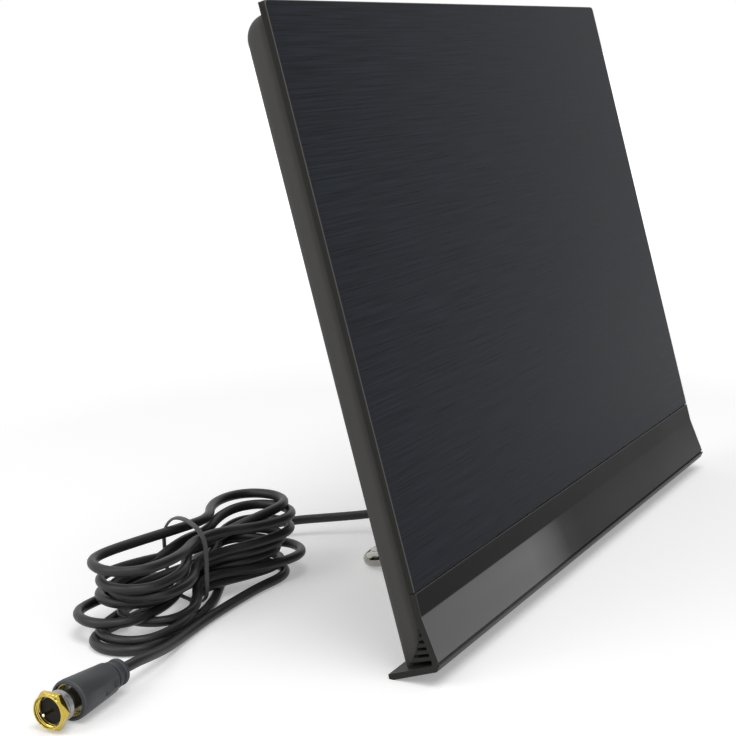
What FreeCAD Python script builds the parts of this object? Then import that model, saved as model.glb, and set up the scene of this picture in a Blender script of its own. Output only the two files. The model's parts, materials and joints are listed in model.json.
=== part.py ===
import FreeCAD, Part
import math
import os

V = FreeCAD.Vector
RIGHT = V(1, 0, 0)
REAR = V(0, 1, 0)
UP = V(0, 0, 1)

# Two places nearer than this count as one.
TOUCH = 0.01

# Driving dimensions, in millimetres and degrees.
# The antenna is drawn upright, with y rearward from the front face and z up from the
# line between panel and strip, and then leaned back onto its foot and its stand.
WIDTH = 305.0
LEAN = 16.0

PANEL_RISE = 198.0
PANEL_THICK = 2.2
PANEL_CORNER = 2.0
PANEL_EDGE = 0.35
GROOVE = 0.25

STRIP_BAND = 8.2
SKIRT_DROP = 16.0
SKIRT_FLARE = 2.2
STRIP_WALL = 2.4
LIP_DROP = 2.9
LIP_CHAMFER = 1.9
FOOT_DEPTH = 17.65
FOOT_THICK = 2.2
FOOT_FALL = 4.2
FOOT_FILLET = 1.0
HEEL_LAND = 1.6
FIN_COUNT = 5
FIN_PITCH = 2.35
FIN_THICK = 1.25
FIN_INSET = 0.8
FIN_CLEARANCE = 0.4

HOUSING_BACK = 13.5
HOUSING_WALL = 2.0
HOUSING_SIDE_INSET = 3.2
HOUSING_TOP_INSET = 3.25
HOUSING_TOP_RADIUS = 8.0
HOUSING_SIDE_RADIUS = 4.0
FLANGE_THICK = 0.6
FLANGE_INSET = 0.3
FLARE_RADIUS = 2.4
NOSE_SHOULDER = 9.4
NOSE_STEP = 0.8
NOSE_BULGE = 2.3
NOSE_LAND = 1.3
SEAT_GAP = 0.35
MOUTH_MARGIN = 5.0

SCREW_INSET = 14.0
SCREW_SHANK = 1.1
SCREW_HEAD = 2.7
SCREW_HEAD_THICK = 1.8
SCREW_RECESS = 0.5
SCREW_CLEARANCE = 0.05
SCREW_HEAD_CLEARANCE = 0.3
SCREW_BITE = 5.0
BOSS_RADIUS = 3.6
POST_END = 9.0
DRIVE_SLOT = 0.8
DRIVE_DEPTH = 0.9

STRIP_SCREW_INSET = 40.0
STRIP_SCREW_SETBACK = 10.5
STRIP_SCREW_HEAD = 2.3
STRIP_SCREW_HEAD_THICK = 1.1
STRIP_SCREW_LENGTH = 9.0

BOARD_WIDTH = 240.0
BOARD_HEIGHT = 130.0
BOARD_THICK = 1.0
BOARD_DROP = 30.0
BOARD_STANDOFF = 1.4
STAKE_INSET = 8.0
STAKE_PAD = 3.5
STAKE_PEG = 1.5
STAKE_HEAD = 2.6
STAKE_HEAD_THICK = 0.8
STAKE_CLEARANCE = 0.1
FOIL_THICK = 0.2
FOIL_FEED_GAP = 6.0
FOIL_FEED_HEIGHT = 8.0
FOIL_MARGIN = 14.0
AMP_WIDTH = 34.0
AMP_HEIGHT = 20.0
AMP_THICK = 1.0
CAN_WIDTH = 24.0
CAN_HEIGHT = 14.0
CAN_DEPTH = 3.0
CAN_WALL = 0.4

STAND_ROD = 6.0
STAND_SPAN = 114.0
STAND_BEND = 8.0
STAND_DROP = 8.5
SOCKET_WALL = 2.2
SOCKET_FLOOR = 1.3
SOCKET_CLEARANCE = 0.05

CABLE = 3.8
GLAND_RISE = 2.0
GLAND_NECK = 3.2
GLAND_RIM = 5.0
GLAND_RIM_THICK = 1.0
GLAND_TIP = 2.7
GLAND_TAIL = 11.0
PIGTAIL = 2.2
PIGTAIL_BEND = 3.0

PLUG_Y = 52.0
PLUG_REAR_X = -202.0
BOOT_LENGTH = 27.2
BOOT_SHOULDER = 6.8
BOOT_BAND = 2.6
BOOT_ROUNDING = 1.2
BOOT_WAIST = 5.35
BOOT_CUP = 5.6
BOOT_CUP_DEPTH = 5.0
BOOT_NECK = 6.5
BOOT_RING = 4.6
BOOT_RING_GROOVE = 3.9
PAD_SETBACK = 12.4
PAD_LENGTH = 5.5
PAD_HEIGHT = 3.6
PAD_DEPTH = 0.35
RING_WALL = 0.5
NUT_SETOFF = 4.9
NUT_FLATS = 11.1
NUT_LENGTH = 4.8
NUT_CHAMFER = 0.5
NUT_RIM = 6.1
NUT_RIM_LENGTH = 0.6
NUT_THREAD = 4.75
NUT_WALL = 1.2
NUT_GAP = 0.2
SLEEVE_BASE = 0.5
SLEEVE_POST = 3.2
SLEEVE_COLLAR = 5.0
SLEEVE_COLLAR_LENGTH = 1.9
SLEEVE_FLANGE = 4.2
SLEEVE_FLANGE_THICK = 0.7
SLEEVE_BORE = 2.2
SEAL_THICK = 0.4
SLEEVE_CLEARANCE = 0.05
PIN_RADIUS = 0.5
PIN_ROOT = 0.3
PIN_PROUD = 2.4

HANK_CENTRE = (-121.7, 76.2)
HANK_TURN = -9.7
HANK_LENGTH = 112.0
HANK_LOBE = 17.0
HANK_WAIST = 9.5
HANK_HEIGHT = 31.0
HANK_ROUNDING = 3.0
TIE = 1.4
TIE_ARCH = 6.0

# The cable's route where it isn't coiled, in the part's own frame. Each end first runs
# straight out of the gland or the boot.
LEAD_RUN = 9.5
TAIL_RUN = 8.5
LEAD_ROUTE = [
    (0.4, 12.9, 19.6),
    (-1.2, 23.9, 14.8),
    (-4.6, 33.9, 12.1),
    (-9.6, 43.9, 11.4),
    (-16.0, 55.9, 8.9),
    (-24.0, 70.4, 7.6),
    (-34.0, 84.9, 6.9),
    (-49.0, 95.4, 5.9),
    (-68.0, 99.4, 4.7),
    (-88.0, 97.9, 3.6),
    (-107.0, 96.5, 2.8),
    (-126.0, 95.5, 2.5),
    (-143.5, 90.6, 2.9),
]
TAIL_ROUTE = [
    (-184.0, 52.7, 5.5),
    (-171.0, 54.1, 3.2),
    (-155.5, 55.7, 2.0),
    (-139.5, 57.3, 2.1),
    (-124.0, 59.3, 2.0),
    (-112.0, 60.2, 2.0),
    (-99.0, 63.0, 2.0),
]
# The tie's route round the bundle: its place along the bundle, its share of the way out
# to the bundle's side, and its share of the way up to the top of its arch.
TIE_ROUTE = [
    (0.0, 0.0, 0.0),
    (0.0, -0.6, 0.0),
    (0.5, -1.0, 0.2),
    (1.5, -1.0, 0.61),
    (0.0, -0.7, 0.94),
    (-3.0, 0.1, 1.0),
    (-5.0, 0.8, 0.86),
    (-3.0, 1.0, 0.56),
    (-1.0, 1.0, 0.2),
    (0.0, 0.66, 0.0),
    (0.0, 0.08, 0.01),
]

# Derived sizes and places.
HALF = WIDTH / 2
SLANT = math.radians(LEAN)
FALL = math.tan(math.radians(FOOT_FALL))
UNDERSIDE = STRIP_BAND + SKIRT_DROP + LIP_DROP
LAND_FRONT = FOOT_DEPTH - HEEL_LAND * math.cos(SLANT)
TUB_TOP = PANEL_RISE - HOUSING_TOP_INSET
TUB_HALF = HALF - HOUSING_SIDE_INSET
SCREW_X = TUB_HALF - SCREW_INSET
SCREW_TOP = TUB_TOP - SCREW_INSET
SCREW_LOW = SCREW_INSET
HEAD_SEAT = HOUSING_BACK - SCREW_RECESS - SCREW_HEAD_THICK
BOARD_TOP = PANEL_RISE - BOARD_DROP
BOARD_MIDDLE = BOARD_TOP - BOARD_HEIGHT / 2
BOARD_FRONT = PANEL_THICK + BOARD_STANDOFF
BOARD_REAR = BOARD_FRONT + BOARD_THICK
AMP_FRONT = BOARD_REAR + FOIL_THICK
AMP_REAR = AMP_FRONT + AMP_THICK
STAND_X = STAND_SPAN / 2
ROD = STAND_ROD / 2
SOCKET_BOTTOM = PANEL_THICK + HOUSING_WALL + SOCKET_FLOOR


def underside(y):
    return -UNDERSIDE - FALL * y


def foot_top(y):
    return underside(y) + FOOT_THICK


def lip_corner():
    """Where the skirt's front, carried on down, meets the underside of the foot."""
    flare_rate = SKIRT_FLARE / SKIRT_DROP
    start_y = -SKIRT_FLARE
    start_z = -STRIP_BAND - SKIRT_DROP
    drop = (start_z - underside(start_y)) / (1 - FALL * flare_rate)
    return V(0, start_y - flare_rate * drop, start_z - drop)


def lip_top():
    """Where the skirt's front ends at the chamfer of the lip."""
    lip = lip_corner()
    up_skirt = V(0, SKIRT_FLARE, SKIRT_DROP).normalize()
    return lip + up_skirt * LIP_CHAMFER


JOINT_HEIGHT = LAND_FRONT * math.sin(SLANT) - underside(LAND_FRONT) * math.cos(SLANT)
STAND_REACH = (JOINT_HEIGHT - STAND_DROP * math.cos(SLANT) - ROD) / math.sin(SLANT)


def leaned(y, z):
    """The rearward and upward place of a point of the upright antenna, once leaned."""
    return (
        y * math.cos(SLANT) + z * math.sin(SLANT),
        z * math.cos(SLANT) - y * math.sin(SLANT),
    )


FRONT_REACH = leaned(lip_top().y, lip_top().z)[0]
REAR_REACH = leaned(STAND_REACH, -STAND_DROP)[0] + ROD
JOINT_Y = -(FRONT_REACH + REAR_REACH) / 2
PLUG_Z = BOOT_SHOULDER


def stand_up(shape):
    """Lean an upright piece back and set it on the floor."""
    turn = FreeCAD.Rotation(RIGHT, -LEAN)
    shape.Placement = FreeCAD.Placement(V(0, JOINT_Y, JOINT_HEIGHT), turn)
    return shape


def box(low, high):
    return Part.makeBox(*[b - a for a, b in zip(low, high)], V(*low))


def rod(radius, start, direction, length):
    return Part.makeCylinder(radius, length, V(*start), direction)


def line(a, b):
    return Part.LineSegment(a, b).toShape()


def arc(a, middle, b):
    return Part.Arc(a, middle, b).toShape()


def prism(edges, half):
    """A side profile run across the antenna, the same distance to both sides."""
    face = Part.Face(Part.Wire(edges))
    return face.translated(V(-half, 0, 0)).extrude(V(2 * half, 0, 0))


def edges_where(shape, test):
    return [e for e in shape.Edges if test(e.BoundBox)]


def corner_points(inset_x, low, high):
    return [(x, z) for x in (-inset_x, inset_x) for z in (low, high)]


# The front panel and its posts.
def front_panel():
    top = PANEL_RISE
    low = GROOVE / 2
    plate = box((-HALF, 0, low), (HALF, PANEL_THICK, top))
    corners = edges_where(plate, lambda b: b.YLength > PANEL_THICK / 2 and b.ZMin > top / 2)
    plate = plate.makeFillet(PANEL_CORNER, corners)
    front = edges_where(plate, lambda b: b.YMax < PANEL_EDGE)
    plate = plate.makeChamfer(PANEL_EDGE, front)
    for x, z in corner_points(SCREW_X, SCREW_LOW, SCREW_TOP):
        post = rod(BOSS_RADIUS, (x, PANEL_THICK, z), REAR, POST_END - PANEL_THICK)
        depth = SCREW_BITE + SCREW_CLEARANCE
        pilot = rod(SCREW_SHANK + SCREW_CLEARANCE, (x, POST_END, z), -REAR, depth)
        plate = plate.fuse(post).cut(pilot)
    for x, z in stake_points():
        pad = rod(STAKE_PAD, (x, PANEL_THICK, z), REAR, BOARD_STANDOFF)
        peg = rod(STAKE_PEG, (x, BOARD_FRONT, z), REAR, BOARD_THICK)
        head = rod(STAKE_HEAD, (x, BOARD_REAR, z), REAR, STAKE_HEAD_THICK)
        plate = plate.fuse([pad, peg, head])
    return plate.removeSplitter()


def stake_points():
    reach = BOARD_WIDTH / 2 - STAKE_INSET
    low = BOARD_TOP - BOARD_HEIGHT + STAKE_INSET
    return corner_points(reach, low, BOARD_TOP - STAKE_INSET)


# The housing behind the panel.
def nose_points():
    """The shoulder, the middle and the foot of the round lower front of the housing."""
    shoulder = V(0, PANEL_THICK + NOSE_STEP, -NOSE_SHOULDER)
    toe_y = HOUSING_BACK - NOSE_LAND
    toe = V(0, toe_y, foot_top(toe_y) + SEAT_GAP)
    chord = toe - shoulder
    outward = V(0, chord.z, -chord.y).normalize()
    return shoulder, (shoulder + toe) / 2 + outward * NOSE_BULGE, toe


def tub_edges():
    back = HOUSING_BACK
    top = TUB_TOP
    curve = HOUSING_TOP_RADIUS
    slack = curve * (1 - math.sqrt(0.5))
    shoulder, belly, toe = nose_points()
    front_top = V(0, PANEL_THICK, top)
    roof_end = V(0, back - curve, top)
    back_top = V(0, back, top - curve)
    heel = V(0, back, toe.z)
    front_low = V(0, PANEL_THICK, shoulder.z)
    return [
        line(front_top, roof_end),
        arc(roof_end, V(0, back - slack, top - slack), back_top),
        line(back_top, heel),
        line(heel, toe),
        arc(toe, belly, shoulder),
        line(shoulder, front_low),
        line(front_low, front_top),
    ]


def tub():
    """The outside of the housing, with its back edges rounded."""
    block = prism(tub_edges(), TUB_HALF)

    def rounded(b):
        at_end = b.XLength < TOUCH and abs(abs(b.XMin) - TUB_HALF) < TOUCH
        top_run = b.ZMin > TUB_TOP - HOUSING_TOP_RADIUS - TOUCH
        back_run = b.YMin > HOUSING_BACK - TOUCH
        return at_end and (top_run or back_run)

    return block.makeFillet(HOUSING_SIDE_RADIUS, edges_where(block, rounded))


def flared_tub():
    """The tub with its rim, joined by a hollow flare along the sides and the top."""
    reach = HALF - FLANGE_INSET
    rim_back = PANEL_THICK + FLANGE_THICK
    rim_low = -STRIP_BAND
    rim = box((-reach, PANEL_THICK, rim_low), (reach, rim_back, PANEL_RISE - FLANGE_INSET))
    joined = tub().fuse(rim).removeSplitter()

    def valley(b):
        in_plane = b.YLength < TOUCH and abs(b.YMin - rim_back) < TOUCH
        inside = b.XMax < reach - TOUCH and b.XMin > TOUCH - reach
        return in_plane and inside and b.ZMax < PANEL_RISE - FLANGE_INSET - TOUCH

    return joined.makeFillet(FLARE_RADIUS, edges_where(joined, valley))


def cavity():
    """The hollow of the housing, open to the front behind the panel."""
    face = Part.Face(Part.Wire(tub_edges()))
    inner = face.makeOffset2D(-HOUSING_WALL)
    half = TUB_HALF - HOUSING_WALL - HOUSING_SIDE_RADIUS / 2
    hollow = inner.translated(V(-half, 0, 0)).extrude(V(2 * half, 0, 0))
    mouth_low = (-half, PANEL_THICK, MOUTH_MARGIN)
    mouth_high = (half, PANEL_THICK + 2 * HOUSING_WALL, TUB_TOP - MOUTH_MARGIN)
    return hollow.fuse(box(mouth_low, mouth_high))


def rear_housing(strip):
    shell = flared_tub().cut(cavity())
    inner_back = HOUSING_BACK - HOUSING_WALL / 2
    for x, z in corner_points(SCREW_X, SCREW_LOW, SCREW_TOP):
        shell = shell.fuse(rod(BOSS_RADIUS, (x, POST_END, z), REAR, inner_back - POST_END))
    for x in (-STAND_X, STAND_X):
        start = (x, PANEL_THICK + HOUSING_WALL, -STAND_DROP)
        boss = rod(ROD + SOCKET_WALL, start, REAR, inner_back - start[1])
        shell = shell.fuse(boss.common(tub()))
    for x in strip_screw_places():
        boss = rod(BOSS_RADIUS, (x, STRIP_SCREW_SETBACK, -UNDERSIDE), UP, UNDERSIDE - STAND_DROP)
        keep = box((-HALF, 0, -2 * UNDERSIDE), (HALF, inner_back, 0))
        shell = shell.fuse(boss.common(keep).cut(strip))
    return shell.cut(housing_holes()).removeSplitter()


def housing_holes():
    holes = []
    for x, z in corner_points(SCREW_X, SCREW_LOW, SCREW_TOP):
        shank = rod(SCREW_SHANK + SCREW_HEAD_CLEARANCE, (x, POST_END, z), REAR, HOUSING_BACK)
        sink = rod(SCREW_HEAD + SCREW_HEAD_CLEARANCE, (x, HEAD_SEAT, z), REAR, HOUSING_BACK)
        holes += [shank, sink]
    for x in (-STAND_X, STAND_X):
        place = (x, SOCKET_BOTTOM, -STAND_DROP)
        holes.append(rod(ROD + SOCKET_CLEARANCE, place, REAR, HOUSING_BACK))
    for x in strip_screw_places():
        place = (x, STRIP_SCREW_SETBACK, strip_head_seat())
        depth = STRIP_SCREW_LENGTH + SCREW_CLEARANCE
        holes.append(rod(SCREW_SHANK + SCREW_CLEARANCE, place, UP, depth))
    neck = (0, HOUSING_BACK - 2 * HOUSING_WALL, GLAND_RISE)
    holes.append(rod(GLAND_NECK, neck, REAR, HOUSING_BACK))
    return Part.makeCompound(holes)


# The strip below the panel, with its skirt, foot and fins.
def skirt_inside(z):
    """The rearward place of the skirt's inner face at a height."""
    below = max(0.0, -STRIP_BAND - z)
    return PANEL_THICK - below * (PANEL_THICK + SKIRT_FLARE - STRIP_WALL) / SKIRT_DROP


def base_strip():
    """The strip's bent profile: a flat band, a flared skirt and a foot."""
    lip = lip_corner()
    top = -GROOVE / 2
    land_low = underside(LAND_FRONT)
    land_back = land_low + HEEL_LAND * math.sin(SLANT)
    inner = inner_corner()
    points = [
        V(0, 0, top),
        V(0, 0, -STRIP_BAND),
        lip,
        V(0, LAND_FRONT, land_low),
        V(0, FOOT_DEPTH, land_back),
        V(0, FOOT_DEPTH, foot_top(FOOT_DEPTH)),
        inner,
        V(0, PANEL_THICK, -STRIP_BAND),
        V(0, PANEL_THICK, top),
    ]
    sides = [line(a, b) for a, b in zip(points, points[1:] + points[:1])]
    strip = prism(sides, HALF)
    strip = strip.makeChamfer(LIP_CHAMFER, edges_along(strip, lip))
    return strip.makeFillet(FOOT_FILLET, edges_along(strip, inner))


def inner_corner():
    """Where the skirt's inner face meets the top of the foot."""
    z = foot_top(0)
    for _ in range(4):
        z = foot_top(skirt_inside(z))
    return V(0, skirt_inside(z), z)


def edges_along(shape, point):
    """The edges that run across the antenna through a point of the side profile."""

    def found(b):
        near = abs(b.YMin - point.y) < TOUCH and abs(b.ZMin - point.z) < TOUCH
        return near and b.XLength > HALF and b.YLength < TOUCH

    return edges_where(shape, found)


def finned(strip):
    """Add the fins that fill the wedge between skirt and housing."""
    shoulder, belly, toe = nose_points()
    nose = arc(shoulder, belly, toe).Curve
    centre = nose.Center
    reach = nose.Radius + FIN_CLEARANCE
    half = HALF - FIN_INSET
    for i in range(1, FIN_COUNT + 1):
        z = foot_top(0) + i * FIN_PITCH
        front = skirt_inside(z) - STRIP_WALL / 2
        fin = box((-half, front, z - FIN_THICK / 2), (half, HOUSING_BACK, z + FIN_THICK / 2))
        past = rod(reach, (-HALF, centre.y, centre.z), RIGHT, WIDTH)
        strip = strip.fuse(fin.cut(past).common(wedge_side(centre)))
    return strip.removeSplitter()


def wedge_side(centre):
    """The room in front of the housing's nose."""
    return box((-HALF, -FOOT_DEPTH, -UNDERSIDE), (HALF, centre.y, 0))


def base_strip_with_holes():
    """The finned strip, with sunk screw holes and room for the housing's bosses."""
    plain = base_strip()
    strip = finned(plain)
    y = STRIP_SCREW_SETBACK
    bottom = underside(y) - STRIP_SCREW_HEAD_THICK
    head_room = STRIP_SCREW_HEAD + SCREW_HEAD_CLEARANCE
    for x in strip_screw_places():
        room = rod(BOSS_RADIUS + FIN_CLEARANCE, (x, y, -UNDERSIDE), UP, UNDERSIDE)
        sink = rod(head_room, (x, y, bottom), UP, strip_head_seat() - bottom)
        hole = rod(SCREW_SHANK + SCREW_HEAD_CLEARANCE, (x, y, bottom), UP, 2 * FOOT_THICK)
        strip = strip.cut([room.cut(plain), sink, hole])
    return strip


def strip_screw_places():
    return (STRIP_SCREW_INSET - HALF, 0, HALF - STRIP_SCREW_INSET)


def strip_head_seat():
    return underside(STRIP_SCREW_SETBACK) + STRIP_SCREW_HEAD_THICK


# Screws.
def screw(radius_head, head_thick, length):
    """A cross-slotted screw that stands on its tip, with its head's top at the origin."""
    head = Part.makeCylinder(radius_head, head_thick, V(0, 0, -head_thick))
    shank = Part.makeCylinder(SCREW_SHANK, length, V(0, 0, -head_thick - length))
    body = head.fuse(shank)
    for across, along in ((radius_head, DRIVE_SLOT), (DRIVE_SLOT, radius_head)):
        low = (-across / 2, -along / 2, -DRIVE_DEPTH)
        body = body.cut(box(low, (across / 2, along / 2, 0)))
    return body


def placed(shape, place, direction):
    shape.Placement = FreeCAD.Placement(V(*place), FreeCAD.Rotation(UP, direction))
    return shape


def housing_screws():
    length = HEAD_SEAT - POST_END + SCREW_BITE
    top = HOUSING_BACK - SCREW_RECESS
    group = []
    for x, z in corner_points(SCREW_X, SCREW_LOW, SCREW_TOP):
        group.append(placed(screw(SCREW_HEAD, SCREW_HEAD_THICK, length), (x, top, z), REAR))
    return Part.makeCompound(group)


def strip_screws():
    y = STRIP_SCREW_SETBACK
    group = []
    for x in strip_screw_places():
        one = screw(STRIP_SCREW_HEAD, STRIP_SCREW_HEAD_THICK, STRIP_SCREW_LENGTH)
        group.append(placed(one, (x, y, underside(y)), -UP))
    return Part.makeCompound(group)


# What the housing holds.
def radiator_board():
    low = (-BOARD_WIDTH / 2, BOARD_FRONT, BOARD_TOP - BOARD_HEIGHT)
    board = box(low, (BOARD_WIDTH / 2, BOARD_REAR, BOARD_TOP))
    for x, z in stake_points():
        board = board.cut(rod(STAKE_PEG + STAKE_CLEARANCE, (x, BOARD_FRONT, z), REAR, BOARD_THICK))
    return board


def radiator(side):
    """One half of the bow tie, wide at its outer end and narrow at the feed."""
    inner = side * FOIL_FEED_GAP / 2
    outer = side * (BOARD_WIDTH / 2 - FOIL_MARGIN)
    wide = BOARD_HEIGHT / 2 - FOIL_MARGIN
    narrow = FOIL_FEED_HEIGHT / 2
    outline = [(inner, -narrow), (outer, -wide), (outer, wide), (inner, narrow), (inner, -narrow)]
    points = [V(x, BOARD_REAR, BOARD_MIDDLE + z) for x, z in outline]
    return Part.Face(Part.makePolygon(points)).extrude(REAR * FOIL_THICK)


def amplifier_board():
    low = (-AMP_WIDTH / 2, AMP_FRONT, BOARD_MIDDLE - AMP_HEIGHT / 2)
    return box(low, (AMP_WIDTH / 2, AMP_REAR, BOARD_MIDDLE + AMP_HEIGHT / 2))


def shield_can():
    """An open-backed metal box over the amplifier."""

    def block(inset):
        reach = CAN_WIDTH / 2 - inset
        rise = CAN_HEIGHT / 2 - inset
        low = (-reach, AMP_REAR, BOARD_MIDDLE - rise)
        return box(low, (reach, AMP_REAR + CAN_DEPTH - inset, BOARD_MIDDLE + rise))

    return block(0).cut(block(CAN_WALL))


def coax_pigtail():
    """The stripped cable end, from the gland up to the shield can."""
    start_y = HOUSING_BACK - HOUSING_WALL - GLAND_RIM_THICK
    run_y = AMP_REAR + PIGTAIL / 2
    can_low = BOARD_MIDDLE - CAN_HEIGHT / 2
    slack = PIGTAIL_BEND * (1 - math.sqrt(0.5))
    rise = GLAND_RISE
    a = V(0, start_y, rise)
    b = V(0, run_y + PIGTAIL_BEND, rise)
    bend = V(0, run_y + slack, rise + slack)
    c = V(0, run_y, rise + PIGTAIL_BEND)
    path = Part.Wire([line(a, b), arc(b, bend, c), line(c, V(0, run_y, can_low))])
    return tube(path, PIGTAIL / 2)


# The stand and the gland at the back.
def wire_stand():
    bend = STAND_BEND
    slack = bend * (1 - math.sqrt(0.5))
    bar = STAND_REACH
    z = -STAND_DROP

    def corner(side):
        start = V(side * STAND_X, bar - bend, z)
        middle = V(side * (STAND_X - slack), bar - slack, z)
        return start, middle, V(side * (STAND_X - bend), bar, z)

    left, right = corner(-1), corner(1)
    path = Part.Wire(
        [
            line(V(-STAND_X, SOCKET_BOTTOM, z), left[0]),
            arc(*left),
            line(left[2], right[2]),
            arc(right[2], right[1], right[0]),
            line(right[0], V(STAND_X, SOCKET_BOTTOM, z)),
        ]
    )
    return tube(path, ROD)


def gland_tip():
    return HOUSING_BACK + GLAND_RIM_THICK + GLAND_TAIL


def cable_gland():
    """A rubber bush, snapped into the back wall, with a tapered tail."""
    inside = HOUSING_BACK - HOUSING_WALL
    outside = HOUSING_BACK + GLAND_RIM_THICK
    outline = [
        (0, inside - GLAND_RIM_THICK),
        (GLAND_RIM, inside - GLAND_RIM_THICK),
        (GLAND_RIM, inside),
        (GLAND_NECK, inside),
        (GLAND_NECK, HOUSING_BACK),
        (GLAND_RIM, HOUSING_BACK),
        (GLAND_RIM, outside),
        (GLAND_NECK + (GLAND_RIM - GLAND_NECK) / 3, outside),
        (GLAND_TIP, gland_tip()),
        (0, gland_tip()),
    ]
    points = [V(r, y, GLAND_RISE) for r, y in outline + outline[:1]]
    return Part.Face(Part.makePolygon(points)).revolve(V(0, 0, GLAND_RISE), REAR, 360)


# The plug, along -X from the boot's rear end.
def turned(outline):
    """A body turned about the plug's axis, from pairs of forward place and radius."""
    points = [V(PLUG_REAR_X - a, PLUG_Y, PLUG_Z + r) for a, r in outline + outline[:1]]
    return Part.Face(Part.makePolygon(points)).revolve(V(0, PLUG_Y, PLUG_Z), RIGHT, 360)


def plug_boot():
    """The moulded boot: a ringed neck, a taper and a rounded front with a cup in it."""
    front = BOOT_LENGTH
    ring = BOOT_NECK / 4
    outline = [
        (0, 0),
        (0, BOOT_RING),
        (ring, BOOT_RING),
        (ring, BOOT_RING_GROOVE),
        (2 * ring, BOOT_RING_GROOVE),
        (2 * ring, BOOT_RING),
        (3 * ring, BOOT_RING),
        (3 * ring, BOOT_RING_GROOVE),
        (4 * ring, BOOT_RING_GROOVE),
        (4 * ring, BOOT_WAIST),
        (front - BOOT_BAND, BOOT_SHOULDER),
        (front, BOOT_SHOULDER),
        (front, 0),
    ]
    boot = turned(outline)
    shoulder = edges_where(boot, lambda b: b.XMax < PLUG_REAR_X - front + TOUCH)
    boot = boot.makeFillet(BOOT_ROUNDING, shoulder)
    root = cup_root()
    boot = boot.cut(turned([(root, 0), (root, BOOT_CUP), (front, BOOT_CUP), (front, 0)]))
    middle = PLUG_REAR_X - PAD_SETBACK
    taper = (BOOT_SHOULDER - BOOT_WAIST) / (front - BOOT_BAND - BOOT_NECK)
    face = BOOT_WAIST + taper * (PAD_SETBACK - BOOT_NECK) - PAD_DEPTH
    for near, far in ((-BOOT_SHOULDER, -face), (face, BOOT_SHOULDER)):
        low = (middle - PAD_LENGTH / 2, PLUG_Y + near, PLUG_Z - PAD_HEIGHT / 2)
        high = (middle + PAD_LENGTH / 2, PLUG_Y + far, PLUG_Z + PAD_HEIGHT / 2)
        boot = boot.cut(box(low, high))
    return boot


def cup_root():
    return BOOT_LENGTH - BOOT_CUP_DEPTH


def nut_rear():
    return BOOT_LENGTH + NUT_SETOFF


def nut_front():
    return nut_rear() + NUT_LENGTH


def flange_rear():
    return nut_rear() + NUT_WALL + NUT_GAP


def flange_front():
    return flange_rear() + SLEEVE_FLANGE_THICK


def seal_front():
    return flange_front() + SEAL_THICK


def cup_ring():
    """A thin metal ring that lines the boot's cup."""
    root, front = cup_root(), BOOT_LENGTH
    outer = BOOT_CUP - SLEEVE_CLEARANCE
    inner = outer - RING_WALL
    return turned([(root, inner), (root, outer), (front, outer), (front, inner)])


def plug_sleeve():
    """The metal post: a base in the cup, a collar, a neck in the nut and a flange inside it."""
    root = cup_root()
    base_top = root + SLEEVE_BASE
    base = BOOT_CUP - RING_WALL - 2 * SLEEVE_CLEARANCE
    collar_front = nut_rear() - NUT_GAP
    collar_rear = collar_front - SLEEVE_COLLAR_LENGTH
    return turned(
        [
            (root, SLEEVE_BORE),
            (root, base),
            (base_top, base),
            (base_top, SLEEVE_POST),
            (collar_rear, SLEEVE_POST),
            (collar_rear, SLEEVE_COLLAR),
            (collar_front, SLEEVE_COLLAR),
            (collar_front, SLEEVE_POST),
            (flange_rear(), SLEEVE_POST),
            (flange_rear(), SLEEVE_FLANGE),
            (flange_front(), SLEEVE_FLANGE),
            (flange_front(), SLEEVE_BORE),
        ]
    )


def plug_insulator():
    """A core through the sleeve, with a seal in front of the sleeve's flange."""
    root, step, front = cup_root(), flange_front(), seal_front()
    return turned(
        [
            (root, PIN_ROOT),
            (root, SLEEVE_BORE),
            (step, SLEEVE_BORE),
            (step, SLEEVE_FLANGE),
            (front, SLEEVE_FLANGE),
            (front, PIN_ROOT),
        ]
    )


def centre_pin():
    """The inner contact, thinner where it is held and blunt at its tip."""
    root, step = cup_root(), seal_front()
    tip = nut_front() + PIN_PROUD
    blunt = PIN_RADIUS / 2
    return turned(
        [
            (root, 0),
            (root, PIN_ROOT),
            (step, PIN_ROOT),
            (step, PIN_RADIUS),
            (tip - blunt, PIN_RADIUS),
            (tip, blunt),
            (tip, 0),
        ]
    )


def coupling_nut():
    """A hexagon nut with chamfered corners, a round rim and an inner wall behind the thread."""
    rear, front = nut_rear(), nut_front()
    hex_front = front - NUT_RIM_LENGTH
    across = NUT_FLATS / math.sqrt(3)
    centre = V(PLUG_REAR_X - hex_front, PLUG_Y, PLUG_Z)
    turns = [math.radians(60 * i) for i in range(7)]
    corners = [centre + V(0, math.cos(t), math.sin(t)) * across for t in turns]
    body = Part.Face(Part.makePolygon(corners)).extrude(RIGHT * (hex_front - rear))
    chamfer = turned(
        [
            (rear, 0),
            (rear, NUT_FLATS / 2),
            (rear + NUT_CHAMFER, across),
            (hex_front - NUT_CHAMFER, across),
            (hex_front, NUT_FLATS / 2),
            (hex_front, 0),
        ]
    )
    rim = turned([(hex_front, 0), (hex_front, NUT_RIM), (front, NUT_RIM), (front, 0)])
    wall = rear + NUT_WALL
    thread = turned([(wall, 0), (wall, NUT_THREAD), (front, NUT_THREAD), (front, 0)])
    post = SLEEVE_POST + SLEEVE_CLEARANCE
    hole = turned([(rear, 0), (rear, post), (wall, post), (wall, 0)])
    return body.common(chamfer).fuse(rim).cut([thread, hole]).removeSplitter()


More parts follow.
